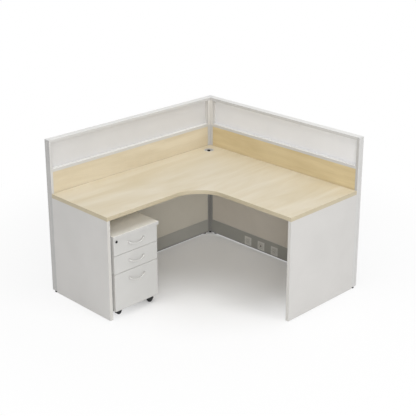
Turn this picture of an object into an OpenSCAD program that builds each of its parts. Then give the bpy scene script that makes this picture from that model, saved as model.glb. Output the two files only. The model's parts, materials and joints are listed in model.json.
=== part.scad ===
// L-shaped cubicle workstation: two framed screens, a corner worktop on board ends,
// cable raceways at floor level and a mobile pedestal with three drawers.
// Millimetres, Z up, origin on the floor at the middle of the footprint.

/* [Layout] */
// Length of the left wing over its screen
left_run = 1600; // [1500:10:2000]
// Length of the right wing over its screen
right_run = 1500; // [1400:10:2000]
// Worktop depth on the left wing, in front of the screen
left_depth = 600; // [560:10:700]
// Worktop depth on the right wing, in front of the screen
right_depth = 700; // [600:10:800]
// Radius of the inner corner of the worktop
inner_r = 230; // [120:10:300]
// Height of the worktop's upper face
desk_h = 760; // [740:5:800]
// Thickness of the worktop
top_t = 28; // [22:1:36]
// Thickness of the edge band on the worktop
band_t = 2; // [1:0.5:3]
// Thickness of the board ends
gable_t = 25; // [18:1:32]
// Height of the glides under the board ends
glide_h = 4; // [3:1:8]

/* [Screens] */
// Height of the screens
screen_h = 1150; // [1100:10:1400]
// Thickness of the screens
screen_t = 50; // [48:1:60]
// Width of the uprights at the open ends
end_stile_w = 20; // [18:1:30]
// Width of the uprights beside the corner post
inner_stile_w = 25; // [20:1:35]
// Height of the top rail
top_rail_h = 22; // [20:1:30]
// Height of the rail under the upper infill
mid_rail_h = 22; // [20:1:30]
// Share of the height over the worktop, between the rails, that the wood band takes
wood_share = 0.455; // [0.35:0.005:0.6]
// Height of the rail behind the worktop
desk_rail_h = 60; // [50:2:80]
// Wall of the extruded profiles
wall = 1.8; // [1.2:0.1:2.5]
// Thickness of the lower, wood and outer boards
board_t = 8; // [6:1:10]
// How far those boards lie behind the face of the frame
recess = 4; // [3:0.5:6]
// Thickness of the upper infill
glaze_t = 6; // [4:1:8]
// Depth of the slots that hold the boards
slot_d = 7; // [6:0.5:8]

/* [Raceway] */
// Height of the frame over the floor
floor_gap = 12; // [11:1:25]
// Height of the bottom rail
bottom_rail_h = 10; // [8:1:16]
// Height of the raceway covers
raceway_h = 100; // [90:5:130]
// Thickness of the raceway covers
cover_t = 1.6; // [1:0.1:2]
// Height of the beam behind the top of the covers
beam_h = 26; // [24:1:32]
// Side of the outlet plates
outlet_w = 69; // [60:1:80]
// Distance of the first outlet from the outer corner
outlet_first = 475; // [300:5:600]
// Spacing of the outlets
outlet_pitch = 138.5; // [100:0.5:150]

/* [Grommet] */
// Distance of the grommet from the left wing's back
grommet_b = 135; // [110:5:200]
// Distance of the grommet from the right wing's back
grommet_a = 150; // [110:5:200]
// Diameter of the hole in the worktop
grommet_d = 60; // [50:1:80]
// Width of the ring's flange beyond the hole
grommet_lip = 10; // [8:1:14]

/* [Pedestal] */
// Width of the pedestal's body
ped_w = 386; // [360:2:420]
// Depth of the pedestal behind its drawer fronts
ped_d = 510; // [490:5:540]
// Free height between the pedestal and the worktop
ped_clear = 118; // [90:2:130]
// Thickness of the pedestal's top
ped_top_t = 25; // [18:1:30]
// Overhang of that top at each side
ped_over = 7; // [3:1:10]
// Overhang of that top in front
ped_front_over = 10; // [5:1:15]
// Gap between the left board end and the pedestal's top
ped_gap = 12; // [5:1:40]
// How far the drawer fronts stand in front of the worktop
ped_out = 5; // [0:1:40]
// Least gap between the pedestal's back and the screen
ped_back_gap = 40; // [20:5:60]
// Thickness of the pedestal's boards
side_t = 16; // [15:1:19]
// Thickness of the drawer fronts
front_t = 18; // [16:1:22]
// Gap between neighbouring fronts
front_gap = 3; // [2:0.5:4]
// Height of the top drawer's front
front_1_h = 123; // [118:1:130]
// Height of the middle drawer's front
front_2_h = 134; // [125:1:150]
// Height of the castors
castor_h = 55; // [52:1:60]
// Radius of the castor wheels
wheel_r = 20; // [18:1:20]

/* [Drawers] */
// Free depth behind the drawers' boxes
box_back_gap = 36; // [20:2:60]
// Height of the top drawer's box
box_1_h = 70; // [68:1:72]
// Height of the middle drawer's box
box_2_h = 90; // [80:1:100]
// Height by which the bottom drawer's box is lower than its front
box_3_less = 52; // [45:1:80]
// Thickness of the drawers' walls
box_wall = 12; // [10:1:15]
// Hole spacing of the bow handles
handle_span = 128; // [96:32:160]
// Thickness of the bow
handle_d = 9; // [8:0.5:12]
// How far the bow hangs out of its straight line
handle_sag = 33; // [25:1:36]

/* [Hidden] */
$fn = 48;
// Overrun of every cut
cut = 1;
// Clearance of a board in its slot, and of one loose piece beside another
fit = 0.3;
// Clearance round a shaft that turns in its bore
turn_fit = 0.05;

// Heights of the screens' pieces
cover_z = floor_gap + bottom_rail_h;
beam_lip = 2;
beam_top_z = cover_z + raceway_h + beam_lip;
beam_z = beam_top_z - beam_h;
desk_rail_low = 2;
desk_rail_top_z = desk_h - desk_rail_low;
desk_rail_z = desk_rail_top_z - desk_rail_h;
top_rail_z = screen_h - top_rail_h;
mid_z = desk_h + (top_rail_z - desk_h - mid_rail_h) * wood_share;
mid_top_z = mid_z + mid_rail_h;
// Thickness of the caps on the post and the end uprights
cap_t = 2;

// Places across the thickness of a screen, from its outer face
outer_board_v = recess;
inner_board_v = screen_t - recess - board_t;
glaze_rib = 2;
glaze_v = outer_board_v + board_t + glaze_rib;
// How far a board's edge reaches into its slot
edge_in = slot_d - 1;
core_v = glaze_v + glaze_t + fit + wall;
core_end_v = inner_board_v - fit - wall;

// Places along a screen, from the outer corner
inner_u = screen_t + inner_stile_w;

module at_corner() {
    translate([left_run / 2, right_run / 2, 0]) children();
}

// A screen is drawn with x along its length from the outer corner, y from its outer face inwards.
module on_left() {
    at_corner() rotate([0, 0, 180]) children();
}

module on_right() {
    at_corner() mirror([1, 1, 0]) children();
}

// A section drawn across the screen is pulled along it.
module along(u0, u1) {
    translate([u0, 0, 0]) rotate([90, 0, 90]) linear_extrude(height = u1 - u0) children();
}

module rect(x0, x1, y0, y1) {
    translate([x0, y0]) square([x1 - x0, y1 - y0]);
}

module block(x0, x1, y0, y1, z0, z1) {
    translate([x0, y0, z0]) cube([x1 - x0, y1 - y0, z1 - z0]);
}

// Points of an arc round a centre, both ends included
function arc(centre, r, from, to, steps) =
    [for (k = [0 : steps]) let (a = from + (to - from) * k / steps) centre + r * [cos(a), sin(a)]];

// Corner post: a square tube, rounded at the outer edge, with a slot for each screen and a
// screw boss on webs in the middle.
post_round = 8;
post_slot_w = 8;
post_slot_d = 5;
post_slot_in = 13;
boss_r = 7;
stem_r = 4;
window_z = cover_z + 16;
window_h = 52;
window_w = 28;

module rounded_corner_square(side, r) {
    polygon(concat([[side, 0], [side, side], [0, side]], arc([r, r], r, 180, 270, 8)));
}

module post_slot() {
    rect(screen_t - post_slot_d, screen_t + cut, -post_slot_w / 2, post_slot_w / 2);
    rect(screen_t - post_slot_d, screen_t - wall, -post_slot_in / 2, post_slot_in / 2);
}

module post_slot_wall() {
    rect(screen_t - post_slot_d - wall, screen_t, -post_slot_in / 2 - wall, post_slot_in / 2 + wall);
}

module both_post_faces() {
    translate([0, screen_t / 2]) children();
    mirror([1, -1]) translate([0, screen_t / 2]) children();
}

module corner_post_section() {
    middle = screen_t / 2;
    difference() {
        union() {
            difference() {
                rounded_corner_square(screen_t, post_round);
                translate([wall, wall]) rounded_corner_square(screen_t - 2 * wall, post_round - wall);
            }
            both_post_faces() post_slot_wall();
            translate([middle, middle]) circle(r = boss_r);
            rect(wall / 2, middle, middle - wall / 2, middle + wall / 2);
            rect(middle - wall / 2, middle + wall / 2, wall / 2, middle);
        }
        both_post_faces() post_slot();
        translate([middle, middle]) circle(r = stem_r + fit);
    }
}

module corner_post() {
    window_u0 = (screen_t - window_w) / 2;
    color([0.8, 0.8, 0.79]) on_left() difference() {
        translate([0, 0, floor_gap]) linear_extrude(height = screen_h - cap_t - floor_gap)
            corner_post_section();
        block(window_u0, screen_t + cut, window_u0, window_u0 + window_w, window_z, window_z + window_h);
        block(window_u0, window_u0 + window_w, window_u0, screen_t + cut, window_z, window_z + window_h);
    }
}

// Caps: one over the post and one over each end upright.
module top_caps() {
    color([0.85, 0.85, 0.84]) {
        on_left() translate([0, 0, screen_h - cap_t]) linear_extrude(height = cap_t)
            rounded_corner_square(screen_t, post_round);
        on_left() block(left_run - end_stile_w, left_run, 0, screen_t, screen_h - cap_t, screen_h);
        on_right() block(right_run - end_stile_w, right_run, 0, screen_t, screen_h - cap_t, screen_h);
    }
}

// Slots for the three layers of boards, seen from above on the side that faces the boards.
module stile_slots(w) {
    for (slot = [[outer_board_v, board_t], [glaze_v, glaze_t], [inner_board_v, board_t]])
        rect(w - slot_d, w + cut, slot[0] - fit, slot[0] + slot[1] + fit);
}

// Groove down the middle of an end upright, where a neighbouring screen or a trim is joined.
groove_w = 8;
groove_d = 1.5;

module end_stile_section() {
    difference() {
        rect(0, end_stile_w, 0, screen_t);
        stile_slots(end_stile_w);
        rect(-cut, groove_d, (screen_t - groove_w) / 2, (screen_t + groove_w) / 2);
        rect(groove_d + wall, end_stile_w - slot_d - wall, wall, screen_t - wall);
    }
}

module end_stile(run) {
    translate([run, 0, floor_gap]) mirror([1, 0, 0]) linear_extrude(height = screen_h - cap_t - floor_gap)
        end_stile_section();
}

module end_stiles() {
    color([0.82, 0.82, 0.81]) {
        on_left() end_stile(left_run);
        on_right() end_stile(right_run);
    }
}

module inner_stile_section() {
    difference() {
        rect(0, inner_stile_w, 0, screen_t);
        stile_slots(inner_stile_w);
        rect(wall, inner_stile_w - slot_d - wall, wall, screen_t - wall);
    }
}

module inner_stile() {
    window_v0 = (screen_t - window_w) / 2;
    difference() {
        translate([screen_t, 0, floor_gap]) linear_extrude(height = top_rail_z - floor_gap)
            inner_stile_section();
        block(screen_t - cut, inner_u + cut, window_v0, window_v0 + window_w, window_z, window_z + window_h);
    }
}

module inner_stiles() {
    color([0.78, 0.78, 0.77]) {
        on_left() inner_stile();
        on_right() inner_stile();
    }
}

// Rails. Their sections are drawn across the screen, with z from the rail's own underside.
rail_round = 3;

module slot_in(v, t, z0, z1) {
    rect(v - fit, v + t + fit, z0, z1);
}

module top_rail_section() {
    difference() {
        polygon(concat([[0, 0], [screen_t, 0]],
            arc([screen_t - rail_round, top_rail_h - rail_round], rail_round, 0, 90, 6),
            arc([rail_round, top_rail_h - rail_round], rail_round, 90, 180, 6)));
        slot_in(glaze_v, glaze_t, -cut, slot_d);
        rect(wall, glaze_v - fit - wall, wall, top_rail_h - wall - rail_round / 2);
        rect(core_v, screen_t - wall, wall, top_rail_h - wall - rail_round / 2);
    }
}

module top_rails() {
    color([0.84, 0.84, 0.83]) {
        on_left() along(screen_t, left_run - end_stile_w) translate([0, top_rail_z]) top_rail_section();
        on_right() along(screen_t, right_run - end_stile_w) translate([0, top_rail_z]) top_rail_section();
    }
}

module mid_rail_section() {
    difference() {
        rect(0, screen_t, 0, mid_rail_h);
        slot_in(glaze_v, glaze_t, mid_rail_h - slot_d, mid_rail_h + cut);
        slot_in(outer_board_v, board_t, -cut, slot_d);
        slot_in(inner_board_v, board_t, -cut, slot_d);
        rect(core_v, core_end_v, wall, mid_rail_h - wall);
        rect(core_end_v + wall, screen_t - wall, slot_d + wall, mid_rail_h - wall);
    }
}

module mid_rails() {
    color([0.84, 0.84, 0.83]) {
        on_left() along(inner_u, left_run - end_stile_w) translate([0, mid_z]) mid_rail_section();
        on_right() along(inner_u, right_run - end_stile_w) translate([0, mid_z]) mid_rail_section();
    }
}

// The rail behind the worktop stops short of the outer board, which runs past it.
desk_rail_v = outer_board_v + board_t + fit;

module desk_rail_section() {
    difference() {
        rect(desk_rail_v, screen_t, 0, desk_rail_h);
        slot_in(inner_board_v, board_t, desk_rail_h - slot_d, desk_rail_h + cut);
        slot_in(inner_board_v, board_t, -cut, slot_d);
        rect(desk_rail_v + wall, core_end_v, wall, desk_rail_h - wall);
        rect(core_end_v + wall, screen_t - wall, slot_d + wall, desk_rail_h - slot_d - wall);
    }
}

// Raceway beam: it carries the lower boards and has a groove each side for the covers' clips.
tongue_t = cover_t;
tongue_in = 5;
tongue_drop = 12;
beam_face_v = screen_t - cover_t - fit;
beam_groove_z = beam_h - tongue_drop;

module beam_section() {
    difference() {
        rect(screen_t - beam_face_v, beam_face_v, 0, beam_h);
        for (v = [outer_board_v, inner_board_v]) slot_in(v, board_t, beam_h - slot_d, beam_h + cut);
        for (v = [screen_t - beam_face_v - cut, beam_face_v - tongue_in])
            rect(v, v + tongue_in + cut, beam_groove_z - fit, beam_groove_z + tongue_t + fit);
        rect(core_v, core_end_v, wall, beam_h - wall);
    }
}

// Bottom rail: a shallow channel whose two lips show under the covers.
lip_w = 8;
channel_floor = 3;

module bottom_rail_section() {
    difference() {
        rect(0, screen_t, 0, bottom_rail_h);
        rect(lip_w, screen_t - lip_w, channel_floor, bottom_rail_h + cut);
    }
}

// Feet stand under the post and near both ends of each screen.
pad_r = 17;
pad_h = 6;
nut_r = 7.5;
stem_up = 22;
foot_margin = 4;
foot_inset = pad_r + foot_margin;
inner_foot_u = inner_u + foot_inset;

module wing_lower_rails(run) {
    along(inner_u, run - end_stile_w) translate([0, desk_rail_z]) desk_rail_section();
    along(inner_u, run - end_stile_w) translate([0, beam_z]) beam_section();
    difference() {
        along(inner_u, run - end_stile_w) translate([0, floor_gap]) bottom_rail_section();
        for (u = [inner_foot_u, run - end_stile_w - foot_inset])
            translate([u, screen_t / 2, floor_gap - cut])
                cylinder(r = stem_r + fit, h = channel_floor + 2 * cut);
    }
}

module lower_rails() {
    color([0.85, 0.85, 0.84]) {
        on_left() wing_lower_rails(left_run);
        on_right() wing_lower_rails(right_run);
    }
}

module levelling_foot() {
    cylinder(r = pad_r, h = pad_h / 2);
    translate([0, 0, pad_h / 2]) cylinder(r1 = pad_r, r2 = nut_r, h = pad_h / 2);
    translate([0, 0, pad_h]) cylinder(r = nut_r, h = floor_gap - pad_h, $fn = 6);
    cylinder(r = stem_r, h = floor_gap + stem_up);
}

module levelling_feet() {
    color([0.08, 0.08, 0.08]) {
        on_left() for (u = [screen_t / 2, inner_foot_u, left_run - end_stile_w - foot_inset])
            translate([u, screen_t / 2, 0]) levelling_foot();
        on_right() for (u = [inner_foot_u, right_run - end_stile_w - foot_inset])
            translate([u, screen_t / 2, 0]) levelling_foot();
    }
}

// Boards. Each reaches edge_in into the slots round it.
module board(run, v, t, z0, z1) {
    block(inner_u - edge_in, run - end_stile_w + edge_in, v, v + t, z0 - edge_in, z1 + edge_in);
}

module top_infills() {
    color([0.82, 0.82, 0.81]) {
        on_left() board(left_run, glaze_v, glaze_t, mid_top_z, top_rail_z);
        on_right() board(right_run, glaze_v, glaze_t, mid_top_z, top_rail_z);
    }
}

module left_wood_infill() {
    color([0.83, 0.76, 0.62]) on_left() board(left_run, inner_board_v, board_t, desk_rail_top_z, mid_z);
}

module right_wood_infill() {
    color([0.80, 0.72, 0.55]) on_right() board(right_run, inner_board_v, board_t, desk_rail_top_z, mid_z);
}

module lower_infills() {
    color([0.66, 0.63, 0.58]) {
        on_left() board(left_run, inner_board_v, board_t, beam_top_z, desk_rail_z);
        on_right() board(right_run, inner_board_v, board_t, beam_top_z, desk_rail_z);
    }
}

module outer_infills() {
    color([0.80, 0.79, 0.77]) {
        on_left() board(left_run, outer_board_v, board_t, beam_top_z, mid_z);
        on_right() board(right_run, outer_board_v, board_t, beam_top_z, mid_z);
    }
}

// Raceway covers: flat plates with clips on their backs
cover_back_v = screen_t - cover_t;

module cover(run) {
    block(inner_u + fit, run - end_stile_w - fit, cover_back_v, screen_t,
        cover_z + fit, cover_z + raceway_h);
}

// Outlets: a square plate with a box that goes through the cover.
outlet_up = 1;
outlet_z = cover_z + outlet_w / 2 + outlet_up;
outlet_box_w = 54;
outlet_box_d = 26;
outlet_plate_t = 2.2;
outlet_insert_w = 46;
outlet_insert_t = 1;
function outlet_u(i) = outlet_first + i * outlet_pitch;

module left_raceway_cover() {
    color([0.5, 0.5, 0.48]) on_left() cover(left_run);
}

module right_raceway_cover() {
    half = outlet_box_w / 2 + fit;
    color([0.5, 0.5, 0.48]) on_right() difference() {
        cover(right_run);
        for (i = [0 : 2])
            block(outlet_u(i) - half, outlet_u(i) + half, screen_t - cover_t - cut, screen_t + cut,
                outlet_z - half, outlet_z + half);
    }
}

module outer_raceway_covers() {
    color([0.5, 0.5, 0.48]) {
        on_left() translate([0, screen_t, 0]) mirror([0, 1, 0]) cover(left_run);
        on_right() translate([0, screen_t, 0]) mirror([0, 1, 0]) cover(right_run);
    }
}

// Clips: a tongue for the beam's groove, and an angle whose foot stands on the bottom rail's lip.
// They keep clear of the outlets.
clip_l = 30;
clip_t = 1.2;
clip_up = 24;
function clip_places(run) = [
    inner_u + clip_l,
    (inner_u + outlet_first) / 2,
    (outlet_u(2) + run - end_stile_w) / 2,
    run - end_stile_w - clip_l
];

module clip_pair() {
    half = clip_l / 2;
    tongue_z = beam_z + beam_groove_z;
    foot_z = cover_z + fit;
    block(-half, half, beam_face_v - tongue_in + fit, cover_back_v, tongue_z, tongue_z + tongue_t);
    block(-half, half, screen_t - lip_w + fit, cover_back_v, foot_z, foot_z + clip_t);
    block(-half, half, cover_back_v - clip_t, cover_back_v, foot_z, foot_z + clip_up);
}

module wing_clips(run) {
    for (side = [0, 1]) translate([0, side * screen_t, 0]) mirror([0, side, 0])
        for (u = clip_places(run)) translate([u, 0, 0]) clip_pair();
}

module raceway_clips() {
    color([0.55, 0.55, 0.55]) {
        on_left() wing_clips(left_run);
        on_right() wing_clips(right_run);
    }
}

// Drawn round the plate's middle: x across, y out of the raceway from the cover's face, z up.
module outlet_blank() {
    plate = outlet_w / 2;
    box = outlet_box_w / 2;
    insert = outlet_insert_w / 2;
    block(-plate, plate, 0, outlet_plate_t, -plate, plate);
    block(-box, box, -outlet_box_d, 0, -box, box);
    block(-insert, insert, outlet_plate_t, outlet_plate_t + outlet_insert_t, -insert, insert);
}

// Blade slots of a two and three pole socket, each with its width, height, turn and place.
slot_deep = 12;
blade_w = 2;
blade_h = 7;
blade_gap = 13;
pole_z = 10;
ground_z = 15;

module blade_slot(x, z, turn) {
    translate([x, outlet_plate_t + outlet_insert_t, z]) rotate([0, turn, 0])
        block(-blade_w / 2, blade_w / 2, -slot_deep, cut, -blade_h / 2, blade_h / 2);
}

module power_outlet() {
    difference() {
        outlet_blank();
        for (side = [-1, 1]) {
            blade_slot(side * blade_gap / 2, pole_z, 0);
            blade_slot(side * blade_gap / 2, -pole_z / 2, side * -30);
        }
        blade_slot(0, -ground_z, 0);
    }
}

// Data port: a rectangular mouth with a narrower step for the plug's latch.
port_w = 12;
port_h = 9;
port_deep = 16;
latch_w = 6;
latch_h = 3;

module data_port() {
    y0 = outlet_plate_t + outlet_insert_t - port_deep;
    y1 = outlet_plate_t + outlet_insert_t + cut;
    difference() {
        outlet_blank();
        block(-port_w / 2, port_w / 2, y0, y1, -port_h / 2, port_h / 2);
        block(-latch_w / 2, latch_w / 2, y0, y1, -port_h / 2 - latch_h, 0);
    }
}

module at_outlet(i) {
    on_right() translate([outlet_u(i), screen_t, outlet_z]) children();
}

module power_outlets() {
    color([0.72, 0.71, 0.69]) for (i = [0, 2]) at_outlet(i) power_outlet();
}

module data_outlet() {
    color([0.72, 0.71, 0.69]) at_outlet(1) data_port();
}

// Worktop: an L whose inner corner is a quarter round. The outline is drawn from the outer
// corner, x along the left wing and y along the right wing, and can be drawn smaller by inset.
module worktop_outline(inset) {
    edge_y = screen_t + left_depth - inset;
    edge_x = screen_t + right_depth - inset;
    end_x = left_run - inset;
    end_y = right_run - inset;
    r = inner_r + inset;
    polygon(concat([[screen_t, end_y], [screen_t, screen_t], [end_x, screen_t], [end_x, edge_y]],
        arc([edge_x + r, edge_y + r], r, 270, 180, 36), [[edge_x, end_y]]));
}

module worktop() {
    z0 = desk_h - top_t;
    color([0.87, 0.82, 0.73]) on_left() difference() {
        translate([0, 0, z0]) linear_extrude(height = top_t) worktop_outline(band_t);
        translate([grommet_a, grommet_b, z0 - cut]) cylinder(d = grommet_d, h = top_t + 2 * cut);
        translate([grommet_a, grommet_b, desk_h - flange_t])
            cylinder(r = grommet_d / 2 + grommet_lip + fit, h = flange_t + cut);
    }
}

module worktop_edge_band() {
    color([0.74, 0.69, 0.55]) on_left() translate([0, 0, desk_h - top_t]) linear_extrude(height = top_t)
        difference() {
            worktop_outline(0);
            worktop_outline(band_t);
            rect(0, screen_t + cut, 0, right_run - band_t);
            rect(0, left_run - band_t, 0, screen_t + cut);
        }
}

// Board ends, flush with the worktop's ends.
module left_gable() {
    color([0.80, 0.79, 0.77]) on_left()
        block(left_run - gable_t, left_run, screen_t, screen_t + left_depth, glide_h, desk_h - top_t);
}

module right_gable() {
    color([0.84, 0.83, 0.82]) on_right()
        block(right_run - gable_t, right_run, screen_t, screen_t + right_depth, glide_h, desk_h - top_t);
}

glide_r = 9;
glide_foot_share = 0.8;
glide_inset = 60;

module glide_pair(run, depth) {
    for (v = [screen_t + glide_inset, screen_t + depth - glide_inset])
        translate([run - gable_t / 2, v, 0]) {
            cylinder(r1 = glide_r * glide_foot_share, r2 = glide_r, h = glide_h / 2);
            translate([0, 0, glide_h / 2]) cylinder(r = glide_r, h = glide_h / 2);
        }
}

module gable_glides() {
    color([0.1, 0.1, 0.1]) {
        on_left() glide_pair(left_run, left_depth);
        on_right() glide_pair(right_run, right_depth);
    }
}

// Angle brackets under the worktop: four on the screens and two on each board end.
bracket_t = 3;
bracket_up = 28;
bracket_out = 60;
bracket_w = 80;
bracket_hole_r = 2.6;
hole_out_share = 0.7;
hole_down_share = 0.6;
gable_bracket_out = 36;

module angle_bracket(w, out) {
    difference() {
        union() {
            block(-w / 2, w / 2, 0, bracket_t, -bracket_up, 0);
            block(-w / 2, w / 2, 0, out, -bracket_t, 0);
        }
        for (x = [-w / 4, w / 4]) {
            translate([x, out * hole_out_share, -bracket_t - cut])
                cylinder(r = bracket_hole_r, h = bracket_t + 2 * cut);
            translate([x, -cut, -bracket_up * hole_down_share]) rotate([-90, 0, 0])
                cylinder(r = bracket_hole_r, h = bracket_t + 2 * cut);
        }
    }
}

screen_bracket_shares = [0.28, 0.72];
gable_bracket_shares = [0.2, 0.8];

module wing_brackets(run, depth) {
    for (share = screen_bracket_shares)
        translate([run * share, screen_t, desk_h - top_t]) angle_bracket(bracket_w, bracket_out);
    for (share = gable_bracket_shares)
        translate([run - gable_t, screen_t + depth * share, desk_h - top_t]) rotate([0, 0, 90])
            angle_bracket(bracket_w / 2, gable_bracket_out);
}

module worktop_brackets() {
    color([0.55, 0.55, 0.55]) {
        on_left() wing_brackets(left_run, left_depth);
        on_right() wing_brackets(right_run, right_depth);
    }
}

// Grommet: a flanged sleeve, let in flush with the worktop, and a lid with a cable notch that
// turns in it.
flange_t = 4;
lid_t = 2;
sleeve_t = 2.2;
sleeve_l = 22;
lid_over = 2;
lid_r = grommet_d / 2 + lid_over;
lid_skirt = 4;
notch_w = 24;
notch_turn = 45;

module at_grommet() {
    on_left() translate([grommet_a, grommet_b, desk_h - flange_t]) children();
}

module grommet_ring() {
    hole_r = grommet_d / 2;
    flange_r = hole_r + grommet_lip;
    color([0.75, 0.76, 0.77]) at_grommet() difference() {
        union() {
            cylinder(r = flange_r, h = flange_t / 2);
            translate([0, 0, flange_t / 2])
                cylinder(r1 = flange_r, r2 = flange_r - flange_t / 2, h = flange_t / 2);
            translate([0, 0, -sleeve_l]) cylinder(r = hole_r - fit, h = sleeve_l);
        }
        translate([0, 0, -sleeve_l - cut])
            cylinder(r = hole_r - fit - sleeve_t, h = sleeve_l + flange_t + 2 * cut);
        translate([0, 0, flange_t - lid_t - fit]) cylinder(r = lid_r + fit, h = lid_t + fit + cut);
    }
}

module grommet_lid() {
    skirt_r = grommet_d / 2 - 2 * fit - sleeve_t;
    color([0.66, 0.67, 0.68]) at_grommet() difference() {
        union() {
            translate([0, 0, flange_t - lid_t]) cylinder(r = lid_r, h = lid_t);
            translate([0, 0, flange_t - lid_t - lid_skirt]) cylinder(r = skirt_r, h = lid_skirt);
        }
        translate([0, 0, flange_t - lid_t - lid_skirt - cut]) {
            cylinder(r = skirt_r - lid_t, h = lid_skirt + cut);
            rotate([0, 0, notch_turn]) linear_extrude(height = lid_skirt + lid_t + 2 * cut)
                polygon(concat(arc([0, 0], notch_w / 2, 90, 270, 16),
                    [[lid_r + cut, -notch_w / 2], [lid_r + cut, notch_w / 2]]));
        }
    }
}

// Pedestal. Drawn with x across from its middle, y back from the drawers' face, z from the floor.
ped_h = desk_h - top_t - ped_clear;
ped_x = left_run - gable_t - ped_gap - ped_over - ped_w / 2;
ped_y = screen_t + max(left_depth + ped_out, ped_d + ped_back_gap);
body_top_z = ped_h - ped_top_t;
bumper_t = 1.5;
body_y = front_t + bumper_t;
half_in = ped_w / 2 - side_t;

module at_pedestal() {
    at_corner() translate([-ped_x, -ped_y, 0]) children();
}

module pedestal_top() {
    color([0.86, 0.86, 0.85]) at_pedestal()
        block(-ped_w / 2 - ped_over, ped_w / 2 + ped_over, -ped_front_over, ped_d, body_top_z, ped_h);
}

// Groove inside the left side in which the locking bar slides.
bar_y = 46;
bar_w = 10;
bar_t = 5;
bar_groove_d = 8;
bar_fit = 0.5;

module pedestal_left_side() {
    color([0.84, 0.84, 0.83]) at_pedestal() difference() {
        block(-ped_w / 2, -half_in, body_y, ped_d, castor_h, body_top_z);
        block(-half_in - bar_groove_d, -half_in + cut, bar_y - bar_fit, bar_y + bar_w + bar_fit,
            castor_h + side_t, body_top_z + cut);
    }
}

module pedestal_right_side() {
    color([0.84, 0.84, 0.83]) at_pedestal() block(half_in, ped_w / 2, body_y, ped_d, castor_h, body_top_z);
}

module pedestal_back() {
    color([0.80, 0.80, 0.79]) at_pedestal()
        block(-half_in, half_in, ped_d - side_t, ped_d, castor_h + side_t, body_top_z);
}

module pedestal_bottom() {
    color([0.80, 0.80, 0.79]) at_pedestal()
        block(-half_in, half_in, body_y, ped_d, castor_h, castor_h + side_t);
}

// Drawers, counted from the top. Each list holds the top, middle and bottom drawer's value.
front_z = [body_top_z - front_1_h, body_top_z - front_1_h - front_2_h, castor_h];
front_top_z = [body_top_z, front_z[0], front_z[1]];
box_h = [box_1_h, box_2_h, front_z[1] - front_z[2] - box_3_less];
// Height of each box over the underside of its front
box_rise = 20;
bottom_box_rise = 22;
box_z = [front_z[0] + box_rise, front_z[1] + box_rise, front_z[2] + bottom_box_rise];
front_side_gap = 1;
box_floor = 6;
runner_w = 12.7;
box_over = 40;
box_l = ped_d - side_t - front_t - box_back_gap;
runner_l = box_l - box_over;
half_box = half_in - runner_w;

// Lock, in the top drawer's front, near its left edge
lock_inset = 26;
lock_drop = 21;
lock_x = -ped_w / 2 + lock_inset;
lock_z = body_top_z - lock_drop;
lock_r = 8;
lock_rim_r = 9.5;
lock_rim_t = 2;
plug_r = 6.5;
lock_behind = 12;
pin_r = 2;
pin_throw = 4;
pin_end_y = 58;

module drawer_front(i) {
    color([0.86, 0.86, 0.85]) at_pedestal()
        block(-ped_w / 2 + front_side_gap, ped_w / 2 - front_side_gap, 0, front_t,
            front_z[i] + front_gap / 2, front_top_z[i] - front_gap / 2);
}

module drawer_1_front() {
    difference() {
        drawer_front(0);
        at_lock() translate([0, 0, -cut]) cylinder(r = lock_r + turn_fit, h = front_t + 2 * cut);
    }
}

module drawer_2_front() {
    drawer_front(1);
}

module drawer_3_front() {
    drawer_front(2);
}

// Peg on the left of each box, which the locking bar's hook stops when it is raised.
runner_rise = 28;
peg_rise = 36;
peg_r = 3;
peg_gap = 1.5;
peg_behind = 2;
peg_y = bar_y + bar_w + peg_behind + peg_r;
function runner_z(i) = box_z[i] + runner_rise;

module drawer_box(i) {
    color([0.75, 0.75, 0.74]) at_pedestal() {
        difference() {
            block(-half_box, half_box, front_t, front_t + box_l, box_z[i], box_z[i] + box_h[i]);
            block(-half_box + box_wall, half_box - box_wall, front_t + box_wall, front_t + box_l - box_wall,
                box_z[i] + box_floor, box_z[i] + box_h[i] + cut);
        }
        translate([-half_in + peg_gap, peg_y, runner_z(i) + peg_rise]) rotate([0, 90, 0])
            cylinder(r = peg_r, h = runner_w - peg_gap + box_wall / 2);
    }
}

module drawer_1_box() {
    drawer_box(0);
}

module drawer_2_box() {
    drawer_box(1);
}

module drawer_3_box() {
    drawer_box(2);
}

// Bow handle: a ring segment that leans forward as it hangs from two posts.
handle_drop = [51, 59, 59];
handle_reach = 12;
handle_lean = 25;
post_r = 5.5;
knuckle_r = 6;
bow_r = (pow(handle_span / 2, 2) + pow(handle_sag, 2)) / (2 * handle_sag);
bow_angle = 2 * asin(handle_span / 2 / bow_r);

module bow_handle() {
    for (x = [-handle_span / 2, handle_span / 2]) translate([x, 0, 0]) {
        rotate([90, 0, 0]) cylinder(r = post_r, h = handle_reach);
        translate([0, -handle_reach, 0]) sphere(r = knuckle_r);
    }
    translate([0, -handle_reach, 0]) rotate([-handle_lean, 0, 0]) translate([0, 0, bow_r - handle_sag])
        rotate([90, 0, 0]) rotate([0, 0, -90 - bow_angle / 2]) rotate_extrude(angle = bow_angle, $fn = 96)
            translate([bow_r, 0]) circle(d = handle_d, $fn = 24);
}

module drawer_handle(i) {
    color([0.7, 0.7, 0.7]) at_pedestal() translate([0, 0, front_top_z[i] - handle_drop[i]]) bow_handle();
}

module drawer_1_handle() {
    drawer_handle(0);
}

module drawer_2_handle() {
    drawer_handle(1);
}

module drawer_3_handle() {
    drawer_handle(2);
}

// Telescopic runners: three nested channels in the gap beside each box. Their sections are drawn
// with x from the cabinet's side towards the box and y up from the runner's middle.
runner_setback = 4;
runner_y = front_t + runner_setback;
runner_t = 1.2;
cabinet_half = 22.5;
cabinet_d = 9;
cabinet_mouth_half = 18.2;
middle_x = 2.2;
middle_end_x = 11.2;
middle_half = 17.4;
middle_mouth_half = 13;
member_x = 4.4;
member_half = 12.3;

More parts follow.
